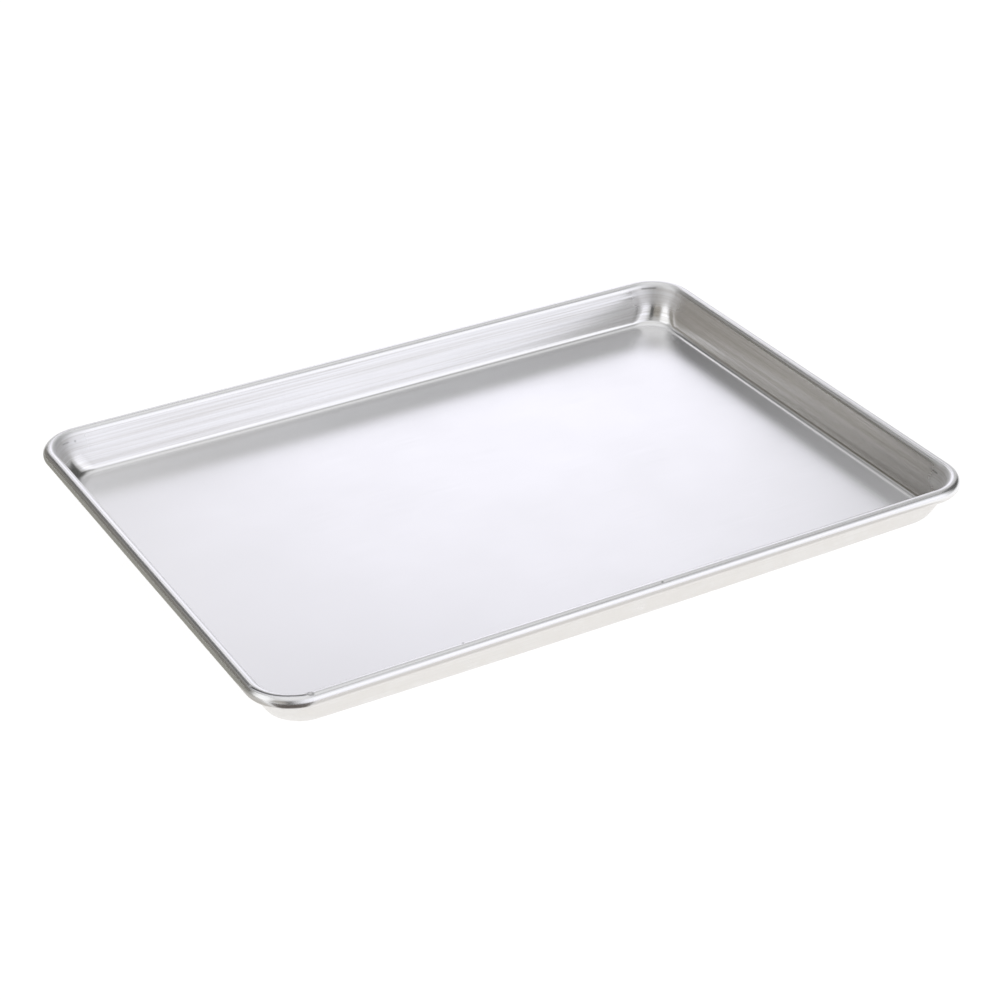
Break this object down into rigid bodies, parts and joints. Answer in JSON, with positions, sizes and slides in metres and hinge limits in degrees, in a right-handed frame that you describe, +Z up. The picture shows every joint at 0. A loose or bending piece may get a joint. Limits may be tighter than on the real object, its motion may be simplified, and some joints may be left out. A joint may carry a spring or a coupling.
{
  "type": "jelly roll pan",
  "caption": "Shallow rectangular aluminium baking pan with tapered walls, rounded corners and an edge rolled round a steel wire, for sponge sheets and biscuits.",
  "frame": {"origin": "middle of the flat underside, which is the middle of the bottom of the part's box", "axes": "+X along the pan's length, +Y across its width, +Z up out of the open top"},
  "size_m": [0.451, 0.327, 0.0265],
  "materials": {
    "natural_aluminium": "natural mill finish, satin, with fine draw streaks along the walls",
    "galvanised_steel": "galvanised wire"
  },
  "bodies": {
    "root": {"pan_shell": "natural_aluminium", "rim_wire": "galvanised_steel"}
  },
  "joints": []
}
